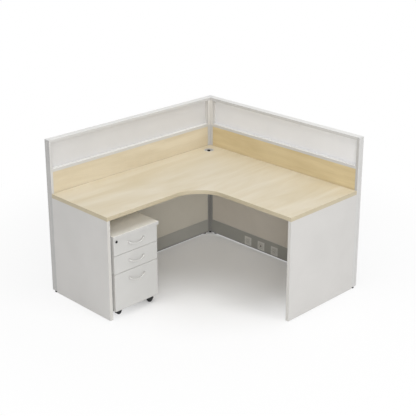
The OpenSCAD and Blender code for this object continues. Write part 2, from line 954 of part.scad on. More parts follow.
module channel_section(x0, x1, half, mouth_half) {
    difference() {
        rect(x0, x1, -half, half);
        rect(x0 + runner_t, x1 - runner_t, -half + runner_t, half - runner_t);
        rect(x1 - runner_t - cut, x1 + cut, -mouth_half, mouth_half);
    }
}

module cabinet_section() {
    channel_section(0, cabinet_d, cabinet_half, cabinet_mouth_half);
}

module middle_section() {
    channel_section(middle_x, middle_end_x, middle_half, middle_mouth_half);
}

module member_section() {
    difference() {
        rect(member_x, runner_w, -member_half, member_half);
        rect(member_x - cut, runner_w - runner_t, -member_half + runner_t, member_half - runner_t);
    }
}

// Both runners of one drawer
module runner_pair(i) {
    for (side = [0, 1]) mirror([side, 0, 0]) at_runner(i) rotate([90, 0, 0]) mirror([0, 0, 1])
        linear_extrude(height = runner_l) children();
}

module at_runner(i) {
    translate([-half_in, runner_y, runner_z(i)]) children();
}

module cabinet_runners() {
    color([0.6, 0.61, 0.62]) at_pedestal() for (i = [0 : 2]) runner_pair(i) cabinet_section();
}

module middle_runners(i) {
    color([0.65, 0.66, 0.67]) at_pedestal() runner_pair(i) middle_section();
}

module middle_runners_1() {
    middle_runners(0);
}

module middle_runners_2() {
    middle_runners(1);
}

module middle_runners_3() {
    middle_runners(2);
}

module drawer_runners(i) {
    color([0.7, 0.71, 0.72]) at_pedestal() runner_pair(i) member_section();
}

module drawer_runners_1() {
    drawer_runners(0);
}

module drawer_runners_2() {
    drawer_runners(1);
}

module drawer_runners_3() {
    drawer_runners(2);
}

// Lock housing, plug with its off-centre pin, and the bar that the pin lifts.
module at_lock() {
    at_pedestal() translate([lock_x, 0, lock_z]) rotate([-90, 0, 0]) children();
}

module lock_housing() {
    l = front_t + lock_behind;
    color([0.15, 0.15, 0.16]) at_lock() difference() {
        union() {
            cylinder(r = lock_r, h = l);
            translate([0, 0, -lock_rim_t]) cylinder(r = lock_rim_r, h = lock_rim_t);
        }
        translate([0, 0, -lock_rim_t - cut]) cylinder(r = plug_r + turn_fit, h = l + lock_rim_t + 2 * cut);
    }
}

key_w = 1.2;
key_h = 6;
key_deep = 10;

module lock_plug() {
    l = front_t + lock_behind + lock_rim_t;
    color([0.3, 0.3, 0.31]) at_lock() difference() {
        union() {
            translate([0, 0, -lock_rim_t]) cylinder(r = plug_r, h = l);
            translate([0, pin_throw, l - lock_rim_t - cut])
                cylinder(r = pin_r, h = pin_end_y - l + lock_rim_t + cut);
        }
        block(-key_w / 2, key_w / 2, -key_h / 2, key_h / 2, -lock_rim_t - cut, key_deep);
    }
}

head_t = 4;
head_up = 9;
head_down = 6;
pin_slot_h = 6;
hook_h = 7;
hook_clear = 1;
hook_end_gap = 3;
head_over = 3;
bar_foot = 6;

module lock_bar() {
    x0 = -half_in - bar_groove_d + bar_fit;
    pin_z = lock_z - pin_throw;
    head_end_x = lock_x + pin_throw + pin_r + head_over;
    slot_half = pin_throw + pin_r + bar_fit;
    color([0.72, 0.72, 0.7]) at_pedestal() difference() {
        union() {
            block(x0, x0 + bar_t, bar_y, bar_y + bar_w, castor_h + side_t + bar_foot, pin_z + head_up);
            block(x0, head_end_x, bar_y, bar_y + head_t, pin_z - head_down, pin_z + head_up);
            for (i = [0 : 2]) {
                hook_top = runner_z(i) + peg_rise - peg_r - hook_clear;
                block(x0, -half_box - hook_end_gap, bar_y, bar_y + bar_w, hook_top - hook_h, hook_top);
            }
        }
        block(lock_x - slot_half, lock_x + slot_half, bar_y - cut, bar_y + head_t + cut,
            pin_z - pin_slot_h / 2, pin_z + pin_slot_h / 2);
    }
}

// Castors: a fixed plate, a hood that swivels in it and a pair of wheels on one axle. A castor is
// drawn round its swivel axis with the axle behind it, along x.
castor_inset = 50;
castor_front_inset = 40;
castor_x = ped_w / 2 - castor_inset;
castor_front_y = body_y + castor_front_inset;
castor_rear_y = ped_d - castor_inset;
// Direction in which each castor trails: front left, front right, rear left, rear right
castor_turn = [0, -55, 60, 15];
plate_w = 40;
plate_t = 2.5;
plate_hole_r = 2.2;
plate_hole_share = 0.75;
collar_r = 9;
collar_h = 3;
swivel_gap = 0.5;
swivel_r = 4;
trail = 18;
wheel_w = 13;
web_w = 6;
wheel_gap = 0.6;
hood_t = 2.2;
hood_gap = 0.8;
hood_r = wheel_r + hood_gap + hood_t;
hood_over = 0.5;
hood_w = web_w + 2 * (wheel_gap + wheel_w + hood_over);
neck_r = 10;
hub_r = 8;
axle_r = 2.5;
neck_top_z = castor_h - plate_t - collar_h - swivel_gap;

module at_castor(i) {
    at_pedestal() translate([i % 2 == 0 ? -castor_x : castor_x, i < 2 ? castor_front_y : castor_rear_y, 0])
        rotate([0, 0, castor_turn[i]]) children();
}

module across(x, w, r) {
    translate([x, w / 2, wheel_r]) rotate([90, 0, 0]) cylinder(r = r, h = w);
}

module wheel_room() {
    for (side = [0, 1]) mirror([0, side, 0])
        translate([trail, web_w / 2 + hood_w, wheel_r]) rotate([90, 0, 0])
            cylinder(r = wheel_r + hood_gap, h = hood_w);
}

module castor_hood() {
    difference() {
        union() {
            intersection() {
                across(trail, hood_w, hood_r);
                block(trail - hood_r, trail + hood_r, -hood_w, hood_w, wheel_r + cut, castor_h);
            }
            across(trail, web_w, hub_r);
            translate([0, 0, wheel_r + hub_r]) cylinder(r = neck_r, h = neck_top_z - wheel_r - hub_r);
            translate([0, 0, neck_top_z - cut])
                cylinder(r = swivel_r, h = castor_h - swivel_gap - neck_top_z + cut);
        }
        wheel_room();
        across(trail, web_w + 2 * cut, axle_r + turn_fit);
    }
}

module castor(i) {
    color([0.07, 0.07, 0.07]) at_castor(i) castor_hood();
}

module front_left_castor() {
    castor(0);
}

module front_right_castor() {
    castor(1);
}

module rear_left_castor() {
    castor(2);
}

module rear_right_castor() {
    castor(3);
}

tread_round = 3;
hub_in = 3;

// Half of a wheel's section: radius along x, the outer face at y = wheel_w, dished round the hub.
module wheel_half_section() {
    rim_x = wheel_r - tread_round;
    dish_x = wheel_r - 2 * tread_round;
    polygon(concat([[0, 0]], arc([rim_x, tread_round], tread_round, 270, 360, 4),
        arc([rim_x, wheel_w - tread_round], tread_round, 0, 90, 4),
        [[dish_x, wheel_w], [dish_x, wheel_w - hub_in]],
        [[hub_r, wheel_w - hub_in], [hub_r, wheel_w], [0, wheel_w]]));
}

module wheel_pair() {
    translate([trail, 0, wheel_r]) {
        for (side = [0, 1]) mirror([0, side, 0])
            translate([0, web_w / 2 + wheel_gap, 0]) rotate([-90, 0, 0])
                rotate_extrude() wheel_half_section();
        rotate([90, 0, 0]) cylinder(r = axle_r, h = web_w + 2 * wheel_w, center = true);
    }
}

module wheels(i) {
    color([0.12, 0.12, 0.12]) at_castor(i) wheel_pair();
}

module front_left_wheels() {
    wheels(0);
}

module front_right_wheels() {
    wheels(1);
}

module rear_left_wheels() {
    wheels(2);
}

module rear_right_wheels() {
    wheels(3);
}

module castor_plates() {
    half = plate_w / 2;
    color([0.6, 0.6, 0.6]) for (i = [0 : 3]) at_castor(i) rotate([0, 0, -castor_turn[i]]) difference() {
        union() {
            block(-half, half, -half, half, castor_h - plate_t, castor_h);
            translate([0, 0, castor_h - plate_t - collar_h])
                cylinder(r = collar_r, h = collar_h + plate_t / 2);
        }
        translate([0, 0, castor_h - plate_t - collar_h - cut])
            cylinder(r = swivel_r + turn_fit, h = plate_t + collar_h + 2 * cut);
        for (x = [-1, 1], y = [-1, 1])
            translate([x * half * plate_hole_share, y * half * plate_hole_share, castor_h - plate_t - cut])
                cylinder(r = plate_hole_r, h = plate_t + 2 * cut);
    }
}

corner_post();
top_caps();
end_stiles();
inner_stiles();
top_rails();
mid_rails();
lower_rails();
top_infills();
left_wood_infill();
right_wood_infill();
lower_infills();
outer_infills();
left_raceway_cover();
right_raceway_cover();
outer_raceway_covers();
raceway_clips();
power_outlets();
data_outlet();
levelling_feet();
worktop();
worktop_edge_band();
left_gable();
right_gable();
gable_glides();
worktop_brackets();
grommet_ring();
grommet_lid();
pedestal_top();
pedestal_left_side();
pedestal_right_side();
pedestal_back();
pedestal_bottom();
drawer_1_front();
drawer_2_front();
drawer_3_front();
drawer_1_box();
drawer_2_box();
drawer_3_box();
drawer_1_handle();
drawer_2_handle();
drawer_3_handle();
cabinet_runners();
middle_runners_1();
middle_runners_2();
middle_runners_3();
drawer_runners_1();
drawer_runners_2();
drawer_runners_3();
lock_housing();
lock_plug();
lock_bar();
castor_plates();
front_left_castor();
front_right_castor();
rear_left_castor();
rear_right_castor();
front_left_wheels();
front_right_wheels();
rear_left_wheels();
rear_right_wheels();
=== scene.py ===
import json
import math
import bmesh
import bpy
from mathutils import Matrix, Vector


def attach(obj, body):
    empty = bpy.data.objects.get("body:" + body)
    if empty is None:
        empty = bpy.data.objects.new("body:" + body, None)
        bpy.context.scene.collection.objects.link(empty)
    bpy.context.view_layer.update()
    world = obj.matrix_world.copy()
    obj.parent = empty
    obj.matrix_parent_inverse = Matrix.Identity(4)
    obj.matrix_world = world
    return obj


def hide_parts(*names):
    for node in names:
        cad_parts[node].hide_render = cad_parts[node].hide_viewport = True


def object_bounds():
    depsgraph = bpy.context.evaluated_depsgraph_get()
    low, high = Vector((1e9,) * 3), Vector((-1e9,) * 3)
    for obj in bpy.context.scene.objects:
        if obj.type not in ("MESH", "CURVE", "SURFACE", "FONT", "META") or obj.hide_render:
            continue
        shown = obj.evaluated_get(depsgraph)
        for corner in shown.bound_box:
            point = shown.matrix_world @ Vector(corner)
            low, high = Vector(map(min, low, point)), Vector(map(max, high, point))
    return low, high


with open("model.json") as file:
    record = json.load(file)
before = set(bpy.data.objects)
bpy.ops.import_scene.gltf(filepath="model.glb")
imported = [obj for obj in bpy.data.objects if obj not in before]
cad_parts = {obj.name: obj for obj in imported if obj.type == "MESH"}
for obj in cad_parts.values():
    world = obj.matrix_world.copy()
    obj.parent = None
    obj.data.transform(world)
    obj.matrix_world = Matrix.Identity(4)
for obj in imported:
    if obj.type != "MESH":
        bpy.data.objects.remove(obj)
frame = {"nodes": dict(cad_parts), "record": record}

record = frame["record"]
nodes = frame["nodes"]
bodyOf = {node: body for body, members in record["behaviour"]["bodies"].items() for node in members}
slotOf = {part["node"]: part["material_slot"] for part in record["subparts"]}
jointOf = {joint["name"]: joint for joint in record["behaviour"]["joints"]}
cadLow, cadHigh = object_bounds()

# Sizes in metres that several pieces share: the screens' outer corner, thickness and runs, the worktop's
# depths from the screens, and the place of the pedestal's front
plan = {"cornerX": 0.8, "cornerY": 0.75, "wall": 0.05, "leftRun": 1.6, "rightRun": 1.5, "leftDepth": 0.6,
    "rightDepth": 0.7, "pedestalX": -0.563, "pedestalY": 0.095}


# Places on the object: u along a wing from the outer corner, v inwards from its outer face
def leftWing(u, v, z):
    return Vector((plan["cornerX"] - u, plan["cornerY"] - v, z))


def rightWing(u, v, z):
    return Vector((plan["cornerX"] - v, plan["cornerY"] - u, z))


# x across the pedestal from its middle, y back from its front
def pedestal(x, y, z):
    return Vector((plan["pedestalX"] + x, plan["pedestalY"] + y, z))


# A colour in steps of 0 to 255, as the shaders read it
def tone(red, green, blue):
    return tuple(((step / 255 + 0.055) / 1.055) ** 2.4 for step in (red, green, blue)) + (1.0,)


def addNode(tree, kind, inputs=None, **settings):
    made = tree.nodes.new(kind)
    for key, value in settings.items():
        setattr(made, key, value)
    for key, value in (inputs or {}).items():
        if isinstance(value, bpy.types.NodeSocket):
            tree.links.new(value, made.inputs[key])
        else:
            made.inputs[key].default_value = value
    return made


def mathNode(tree, operation, first, second=0.0, **settings):
    made = addNode(tree, "ShaderNodeMath", {0: first, 1: second}, operation=operation, **settings)
    return made.outputs[0]


def ranged(tree, value, start, end, first=0.0, last=1.0, **settings):
    return addNode(tree, "ShaderNodeMapRange", {"Value": value, "From Min": start, "From Max": end,
        "To Min": first, "To Max": last}, **settings).outputs[0]


def pattern(tree, place, scale, kind, inputs, **settings):
    scaled = addNode(tree, "ShaderNodeMapping", {"Vector": place, "Scale": scale})
    return addNode(tree, kind, {"Vector": scaled.outputs[0], "Scale": 1.0, **inputs}, **settings)


def addPiece(name, mesh):
    piece = bpy.data.objects.new(name, mesh)
    bpy.context.scene.collection.objects.link(piece)
    return piece


# What a look has where it doesn't say otherwise
plainLook = {"twist": 0.3, "low": 0.32, "high": 0.68, "speck": 0.04, "spread": 0.04, "grainLow": 0.3,
    "grainHigh": 0.7, "strength": 0.2, "relief": 0.00005, "metal": 0.0, "coat": 0.0, "coatRoughness": 0.2,
    "specular": 0.5, "figureFrom": 0.35}


# A finish: a broad pattern between two tones, a fine grain that also sets gloss and relief
def finish(name, look):
    look = {**plainLook, **look}
    material = bpy.data.materials.new(name)
    material.use_nodes = True
    tree = material.node_tree
    shader = tree.nodes["Principled BSDF"]
    place = addNode(tree, "ShaderNodeTexCoord").outputs["Object"]
    broad = pattern(tree, place, look["broad"], "ShaderNodeTexNoise",
        {"Detail": 5.0, "Roughness": 0.55, "Distortion": look["twist"]}).outputs[0]
    grain = pattern(tree, place, look["fine"], "ShaderNodeTexNoise",
        {"Detail": 3.0, "Roughness": 0.6}).outputs[0]
    ramp = addNode(tree, "ShaderNodeValToRGB", {"Fac": broad})
    for element, level, shade in zip(ramp.color_ramp.elements, ("low", "high"), ("dark", "light")):
        element.position = look[level]
        element.color = tone(*look[shade])
    colour = ramp.outputs[0]
    if "figure" in look:  # the arched lines of sawn wood
        figure = pattern(tree, place, look["figureScale"], "ShaderNodeTexWave",
            {"Distortion": 7.0, "Detail": 2.5, "Detail Scale": 0.6}, bands_direction="Y")
        share = ranged(tree, figure.outputs["Fac"], look["figureFrom"], 1.0, 0.0, look["figureShare"])
        figured = addNode(tree, "ShaderNodeMix", {0: share, 6: colour, 7: tone(*look["figure"])},
            data_type="RGBA")
        colour = figured.outputs[2]
    speck = ranged(tree, grain, look["grainLow"], look["grainHigh"], 1 - look["speck"], 1.0)
    shaded = addNode(tree, "ShaderNodeMix", {0: 1.0, 6: colour, 7: speck}, data_type="RGBA",
        blend_type="MULTIPLY")
    gloss = ranged(tree, grain, look["grainLow"], look["grainHigh"], look["roughness"] - look["spread"],
        look["roughness"] + look["spread"])
    relief = addNode(tree, "ShaderNodeBump", {"Height": grain, "Strength": look["strength"],
        "Distance": look["relief"]})
    tree.links.new(shaded.outputs[2], shader.inputs["Base Color"])
    tree.links.new(gloss, shader.inputs["Roughness"])
    tree.links.new(relief.outputs[0], shader.inputs["Normal"])
    shader.inputs["Metallic"].default_value = look["metal"]
    shader.inputs["Coat Weight"].default_value = look["coat"]
    shader.inputs["Coat Roughness"].default_value = look["coatRoughness"]
    shader.inputs["Specular IOR Level"].default_value = look["specular"]
    return material


# The same scale of pattern along all three axes
def allWays(scale):
    return (scale, scale, scale)


even = allWays(3.0)
powder = allWays(1400.0)
looks = {
    "screen_profile": {"light": (204, 203, 201), "dark": (199, 198, 196), "broad": even, "fine": powder,
        "roughness": 0.38, "relief": 0.00003, "speck": 0.03},
    "screen_cap": {"light": (224, 224, 223), "dark": (219, 219, 218), "broad": even, "fine": powder,
        "roughness": 0.42, "speck": 0.02},
    "frosted_infill": {"light": (212, 211, 210), "dark": (207, 206, 205), "broad": even,
        "fine": allWays(700.0), "roughness": 0.5, "speck": 0.035},
    "maple_infill": {"light": (219, 208, 184), "dark": (206, 193, 166), "broad": (1.3, 10.0, 12.0),
        "fine": (16.0, 420.0, 420.0), "twist": 0.9, "figure": (203, 184, 146),
        "figureScale": (0.6, 6.0, 6.0), "figureShare": 0.2, "roughness": 0.42, "speck": 0.07,
        "relief": 0.00004},
    "grey_laminate": {"light": (219, 214, 202), "dark": (213, 208, 196), "broad": even,
        "fine": allWays(500.0), "roughness": 0.5},
    "outer_laminate": {"light": (212, 210, 206), "dark": (206, 204, 200), "broad": even,
        "fine": allWays(500.0), "roughness": 0.48},
    "raceway_cover": {"light": (158, 157, 151), "dark": (152, 151, 145), "broad": even, "fine": powder,
        "roughness": 0.4},
    "outlet_plastic": {"light": (204, 202, 197), "dark": (200, 198, 193), "broad": even,
        "fine": allWays(900.0), "roughness": 0.32, "speck": 0.02, "relief": 0.00002},
    "black_plastic": {"light": (30, 30, 31), "dark": (24, 24, 25), "broad": allWays(20.0),
        "fine": allWays(900.0), "roughness": 0.55, "speck": 0.1},
    "maple_worktop": {"light": (228, 219, 199), "dark": (216, 203, 174), "broad": (0.9, 4.6, 4.6),
        "fine": (13.0, 380.0, 380.0), "twist": 1.6, "figure": (206, 190, 156),
        "figureScale": (0.4, 2.6, 2.6), "figureShare": 0.12, "roughness": 0.4, "speck": 0.05,
        "relief": 0.00004, "coat": 0.08},
    "maple_edge": {"light": (192, 181, 155), "dark": (185, 173, 146), "broad": (3.0, 3.0, 60.0),
        "fine": (30.0, 30.0, 700.0), "twist": 0.4, "roughness": 0.42, "speck": 0.03, "relief": 0.00003},
    "gable_laminate": {"light": (205, 203, 200), "dark": (200, 198, 195), "broad": even,
        "fine": allWays(600.0), "roughness": 0.46, "speck": 0.03},
    "bracket_steel": {"light": (150, 150, 150), "dark": (138, 138, 138), "broad": allWays(9.0),
        "fine": powder, "roughness": 0.45, "speck": 0.06},
    "grommet_silver": {"light": (216, 218, 220), "dark": (208, 210, 212), "broad": allWays(30.0),
        "fine": (1500.0, 1500.0, 200.0), "roughness": 0.34, "metal": 0.4},
    "grommet_lid_silver": {"light": (172, 174, 177), "dark": (164, 166, 169), "broad": allWays(30.0),
        "fine": allWays(1200.0), "roughness": 0.4},
    "pedestal_laminate": {"light": (201, 200, 197), "dark": (196, 195, 192), "broad": even,
        "fine": allWays(600.0), "roughness": 0.42, "speck": 0.025},
    "drawer_board": {"light": (202, 201, 197), "dark": (196, 195, 191), "broad": even,
        "fine": allWays(420.0), "roughness": 0.52, "speck": 0.05},
    "handle_metal": {"light": (214, 213, 210), "dark": (206, 205, 202), "broad": allWays(12.0),
        "fine": (90.0, 2200.0, 2200.0), "roughness": 0.42, "metal": 0.55, "speck": 0.05, "relief": 0.00001},
    "runner_steel": {"light": (188, 190, 192), "dark": (168, 170, 173), "broad": allWays(38.0),
        "fine": (2200.0, 80.0, 2200.0), "roughness": 0.34, "metal": 0.9, "speck": 0.06, "relief": 0.00001},
    "lock_metal": {"light": (34, 34, 36), "dark": (26, 26, 28), "broad": allWays(60.0),
        "fine": allWays(2600.0), "roughness": 0.28, "metal": 0.5, "speck": 0.05},
    "castor_plastic": {"light": (31, 31, 32), "dark": (25, 25, 26), "broad": allWays(30.0),
        "fine": allWays(1100.0), "roughness": 0.42, "speck": 0.1},
    "castor_tread": {"light": (42, 42, 43), "dark": (34, 34, 35), "broad": allWays(60.0),
        "fine": allWays(1600.0), "roughness": 0.7, "speck": 0.15},
}

# Finishes of small pieces, of single faces, many of them painted light or painted shade, and of the right
# wood infill, whose grain runs the other way: the material's name, the look that it starts from, if any,
# and what it changes
variants = {
    "turnedInfill": ("maple_infill_turned", "maple_infill", {"broad": (12.0, 1.3, 14.0),
        "fine": (420.0, 16.0, 420.0), "figureScale": (7.0, 0.6, 7.0), "light": (222, 205, 165),
        "dark": (207, 188, 146), "figure": (194, 172, 128)}),
    "rightInfillPaintedLight": ("frosted_infill_right", "frosted_infill",  # painted light: lighter than the left wing's, standing in for light from behind shining through
        {"light": (233, 233, 234), "dark": (228, 228, 229)}),
    # painted shade: the right wing's lower infill, darker than the left
    "shadedBoard": ("shaded_board", "grey_laminate", {"light": (208, 201, 190), "dark": (202, 195, 184)}),
    # painted shade: near-black inside the outlets' slots and the grommet's tube
    "insidePaintedShade": ("inner_dark", None, {"light": (26, 25, 24), "dark": (20, 19, 18), "broad": even,
        "fine": powder, "roughness": 0.6}),
    "contactGold": ("contact_gold", None, {"light": (226, 186, 98), "dark": (210, 168, 84),
        "broad": allWays(200.0), "fine": powder, "roughness": 0.25, "metal": 1.0}),
    "edgeBand": ("edge_band", "gable_laminate", {"light": (214, 212, 208), "dark": (209, 207, 203),
        "fine": allWays(900.0), "roughness": 0.36}),
    "endBand": ("board_end_band", "gable_laminate", {"light": (204, 202, 197), "dark": (199, 197, 192),
        "fine": allWays(900.0), "roughness": 0.38}),
    # painted light: the pedestal top's upper face
    "topPaintedLight": ("pedestal_top_board", "pedestal_laminate",
        {"light": (244, 241, 233), "dark": (239, 236, 228)}),
    # painted light: the top rails' top faces
    "railTopPaintedLight": ("bright_profile", "screen_profile",
        {"light": (230, 229, 226), "dark": (226, 225, 222), "roughness": 0.32}),
    # painted light: the mid rails' upward faces
    "ledgePaintedLight": ("rail_ledge", "screen_profile",
        {"light": (241, 240, 237), "dark": (237, 236, 233), "roughness": 0.34}),
    # painted light: the corner's inner uprights between the upper infills
    "innerPaintedLight": ("inner_profile", "screen_profile",
        {"light": (217, 215, 211), "dark": (212, 210, 206)}),
    # painted shade: the end stiles' side faces
    "endPaintedShade": ("end_profile", "screen_profile", {"light": (186, 185, 183), "dark": (181, 180, 178)}),
    # painted light: the left wing's raceway cover, lighter than the right wing's
    "leftCoverPaintedLight": ("left_cover", "raceway_cover", {"light": (178, 177, 171), "dark": (172, 171, 165)}),
    # painted shade: the corner's inner faces below the worktop and the bottom rails' faces by the floor
    "shadedProfile": ("shaded_profile", "screen_profile",
        {"light": (152, 151, 148), "dark": (146, 145, 142)}),
    "outletInsert": ("outlet_insert", "outlet_plastic",
        {"light": (190, 188, 182), "dark": (186, 184, 178)}),
    "screwSteel": ("screw_steel", None, {"light": (176, 177, 178), "dark": (158, 159, 160),
        "broad": allWays(90.0), "fine": allWays(2000.0), "roughness": 0.32, "metal": 1.0}),
}
finishes = {slot: finish(slot, look) for slot, look in looks.items()}
for key, (name, base, changes) in variants.items():
    finishes[key] = finish(name, {**looks.get(base, {}), **changes})
for name, node in nodes.items():
    node.data.materials.clear()
    node.data.materials.append(finishes[slotOf[name]])
nodes["right_wood_infill"].data.materials[0] = finishes["turnedInfill"]
print("finishes:", len(finishes))

# How close points are merged, the angles in degrees up to which faces count as flat and as smooth, and
# the steps of a broken edge
shaping = {"weld": 0.00002, "flat": 0.5, "angle": 38, "segments": 2}
shaped = []


def bakeModifiers(piece):
    graph = bpy.context.evaluated_depsgraph_get()
    mesh = bpy.data.meshes.new_from_object(piece.evaluated_get(graph), depsgraph=graph)
    piece.modifiers.clear()
    piece.data = mesh


# Loose triangles become closed solids. Two solids that meet in an edge stay two.
def weld(work):
    bmesh.ops.remove_doubles(work, verts=work.verts, dist=shaping["weld"])
    shared = [edge for edge in work.edges if len(edge.link_faces) > 2]
    if not shared:
        return
    bmesh.ops.split_edges(work, edges=shared)
    waiting = set(work.verts)
    while waiting:
        island, reached = set(), [waiting.pop()]
        while reached:
            vertex = reached.pop()
            island.add(vertex)
            for edge in vertex.link_edges:
                other = edge.other_vert(vertex)
                if other in waiting:
                    waiting.remove(other)
                    reached.append(other)
        bmesh.ops.remove_doubles(work, verts=list(island), dist=shaping["weld"])


# A node's mesh with its edges broken, which stands for the node
def shapeNode(name, edge, paint=None, cutAt=()):
    mesh = nodes[name].data.copy()
    work = bmesh.new()
    work.from_mesh(mesh)
    weld(work)
    bmesh.ops.dissolve_limit(work, angle_limit=math.radians(shaping["flat"]), verts=work.verts,
        edges=work.edges)
    for height in cutAt:
        bmesh.ops.bisect_plane(work, geom=work.verts[:] + work.edges[:] + work.faces[:],
            plane_co=(0, 0, height), plane_no=(0, 0, 1))
    work.to_mesh(mesh)
    work.free()
    mesh.shade_smooth()
    piece = addPiece(name + "_shaped", mesh)
    if edge > 0:
        bevel = piece.modifiers.new("edge", "BEVEL")
        bevel.width = edge
        bevel.segments = shaping["segments"]
        bevel.limit_method = "ANGLE"
        bevel.angle_limit = math.radians(shaping["angle"])
    else:
        mesh.set_sharp_from_angle(angle=math.radians(shaping["angle"]))
    level = piece.modifiers.new("level", "WEIGHTED_NORMAL")
    level.keep_sharp = True
    bakeModifiers(piece)
    if paint:
        paint(piece)
    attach(piece, bodyOf[name])
    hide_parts(name)
    shaped.append(name)


def printShaped(stage):
    print(stage + ":", len(shaped))
    shaped.clear()


# More finishes on one piece: choose gives a face the number of its finish, 0 for the piece's own
def paintFaces(extra, choose):
    def paint(piece):
        for look in extra:
            piece.data.materials.append(finishes[look])
        for face in piece.data.polygons:
            face.material_index = choose(face)
    return paint


def paintWhere(test, look):
    return paintFaces([look], lambda face: int(test(face)))


# How far a face's normal has to point along an axis to count as square to it, or as sloped towards it
square, sloped = 0.7, 0.3

# The screens: how far the edges of each piece are broken
screenEdges = {"top_caps": 0.0005, "right_raceway_cover": 0.0004, "outer_raceway_covers": 0.0004,
    "levelling_feet": 0.0004}
for name, edge in screenEdges.items():
    shapeNode(name, edge)

# Where the screens' finishes change: heights, and distances in from the outer faces
screen = {"worktop": 0.745, "bottomRail": 0.0225, "outletBack": 0.0498, "outletInsert": 0.0527,
    "infillDepth": 0.06}
railBox = nodes["mid_rails"].bound_box
midLevel = sum(corner[2] for corner in railBox) / len(railBox)


# The corner's inner faces: painted shade below the worktop, and painted light on the uprights between the
# upper infills
def paintCorner(paintLightAbove):
    def choose(face):
        if face.normal.x >= sloped or face.normal.y >= sloped:
            return 0
        if face.center.z < screen["worktop"]:
            return 1
        return 2 if paintLightAbove and face.center.z > midLevel else 0
    return paintFaces(["shadedProfile", "innerPaintedLight"], choose)


cornerEdges = {"corner_post": (0.0006, False), "inner_stiles": (0.0004, True)}
for name, (edge, paintLightAbove) in cornerEdges.items():
    shapeNode(name, edge, paint=paintCorner(paintLightAbove), cutAt=(screen["worktop"], midLevel))
# Each with its edge, the faces to paint and their finish: painted light on the tops of the top and mid
# rails and on the left raceway cover, painted shade on the end stiles' side faces and on the bottom rails'
# faces by the floor
screenPaint = {"top_rails": (0.0004, lambda face: face.normal.z > square, "railTopPaintedLight"),
    "mid_rails": (0.0006, lambda face: face.normal.z > sloped, "ledgePaintedLight"),
    "end_stiles": (0.0007, lambda face: abs(face.normal.x) > square, "endPaintedShade"),
    "lower_rails": (0.0005, lambda face: face.center.z < screen["bottomRail"], "shadedProfile"),
    "left_raceway_cover": (0.0004, lambda face: True, "leftCoverPaintedLight")}
for name, (edge, test, look) in screenPaint.items():
    shapeNode(name, edge, paint=paintWhere(test, look))


# Outlets: painted shade inside the slots, a near-black finish on the faces behind the plate, and the insert
# has its own tone
def outletFinish(face):
    out = plan["cornerX"] - face.center.x
    if out < screen["outletBack"]:
        return 1
    return 2 if out > screen["outletInsert"] else 0


outletEdges = {"power_outlets": 0.0004, "data_outlet": 0.0004}
for name, edge in outletEdges.items():
    shapeNode(name, edge, paint=paintFaces(["insidePaintedShade", "outletInsert"], outletFinish))


# The right wing's infills get painted light and painted shade: the upper infill a lighter finish, for light
# from behind shining through, and the lower infill a darker one
def onRight(face):
    beside = face.center.x > cadHigh.x - screen["infillDepth"]
    return beside and face.center.y < cadHigh.y - screen["infillDepth"]


infillPaint = {"top_infills": (0.0004, "rightInfillPaintedLight"), "lower_infills": (0, "shadedBoard")}
for name, (edge, look) in infillPaint.items():
    shapeNode(name, edge, paint=paintWhere(onRight, look))
printShaped("screens")

# The desk
deskEdges = {"worktop": 0.0003, "gable_glides": 0.0004, "worktop_brackets": 0.0005, "grommet_lid": 0.0003}
for name, edge in deskEdges.items():
    shapeNode(name, edge)
# Painted shade: near-black on the ring's faces down inside the tube
grommet = {"edge": 0.0004, "paintedShadeBelow": 0.7575}
shapeNode("grommet_ring", grommet["edge"],
    paint=paintWhere(lambda face: face.center.z < grommet["paintedShadeBelow"], "insidePaintedShade"))


# The faces of a board that run round its thin axis get the finish of its edge band
def paintEdges(axis, look="edgeBand"):
    return paintWhere(lambda face: abs(face.normal[axis]) < square, look)


# Boards, each with its edge and its thin axis
boardEnds = {"left_gable": (0.0008, 0), "right_gable": (0.0008, 1)}
for name, (edge, axis) in boardEnds.items():
    shapeNode(name, edge, paint=paintEdges(axis, "endBand"))
printShaped("desk")

# The pedestal
topEdge = 0.001
# Painted light: a lighter finish on the pedestal top's upper face
shapeNode("pedestal_top", topEdge, paint=paintWhere(lambda face: face.normal.z > sloped, "topPaintedLight"))
pedestalEdges = {"pedestal_left_side": (0.0006, 0), "pedestal_right_side": (0.0006, 0),
    "pedestal_back": (0.0005, 1), "pedestal_bottom": (0.0005, 2), "drawer_1_front": (0.0009, 1),
    "drawer_2_front": (0.0009, 1), "drawer_3_front": (0.0009, 1)}
for name, (edge, axis) in pedestalEdges.items():
    shapeNode(name, edge, paint=paintEdges(axis))
drawerEdges = {"drawer_1_box": 0.0006, "drawer_2_box": 0.0006, "drawer_3_box": 0.0006,
    "cabinet_runners": 0.0002, "middle_runners_1": 0.0002, "middle_runners_2": 0.0002,
    "middle_runners_3": 0.0002, "drawer_runners_1": 0.0002, "drawer_runners_2": 0.0002,
    "drawer_runners_3": 0.0002, "lock_bar": 0.0004, "lock_plug": 0.0002, "castor_plates": 0.0003,
    "front_left_castor": 0.0004, "front_right_castor": 0.0004, "rear_left_castor": 0.0004,
    "rear_right_castor": 0.0004}
for name, edge in drawerEdges.items():
    shapeNode(name, edge)
lock = {"edge": 0.0004, "front": pedestal(0, 0, 0).y}
shapeNode("lock_housing", lock["edge"],
    paint=paintWhere(lambda face: face.center.y > lock["front"], "handle_metal"))

# Wheels: a soft tread round a hard dished hub, found by its distance from the axle
wheel = {"edge": 0.0003, "hubRadius": 0.0165}


def paintWheels(joint):
    pivot, axle = Vector(joint["pos_m"]), Vector(joint["axis"])
    return paintWhere(lambda face: (face.center - pivot).cross(axle).length < wheel["hubRadius"],
        "castor_plastic")


for corner in ("front_left", "front_right", "rear_left", "rear_right"):
    shapeNode(corner + "_wheels", wheel["edge"], paint=paintWheels(jointOf[corner + "_wheel_spin"]))
printShaped("pedestal")

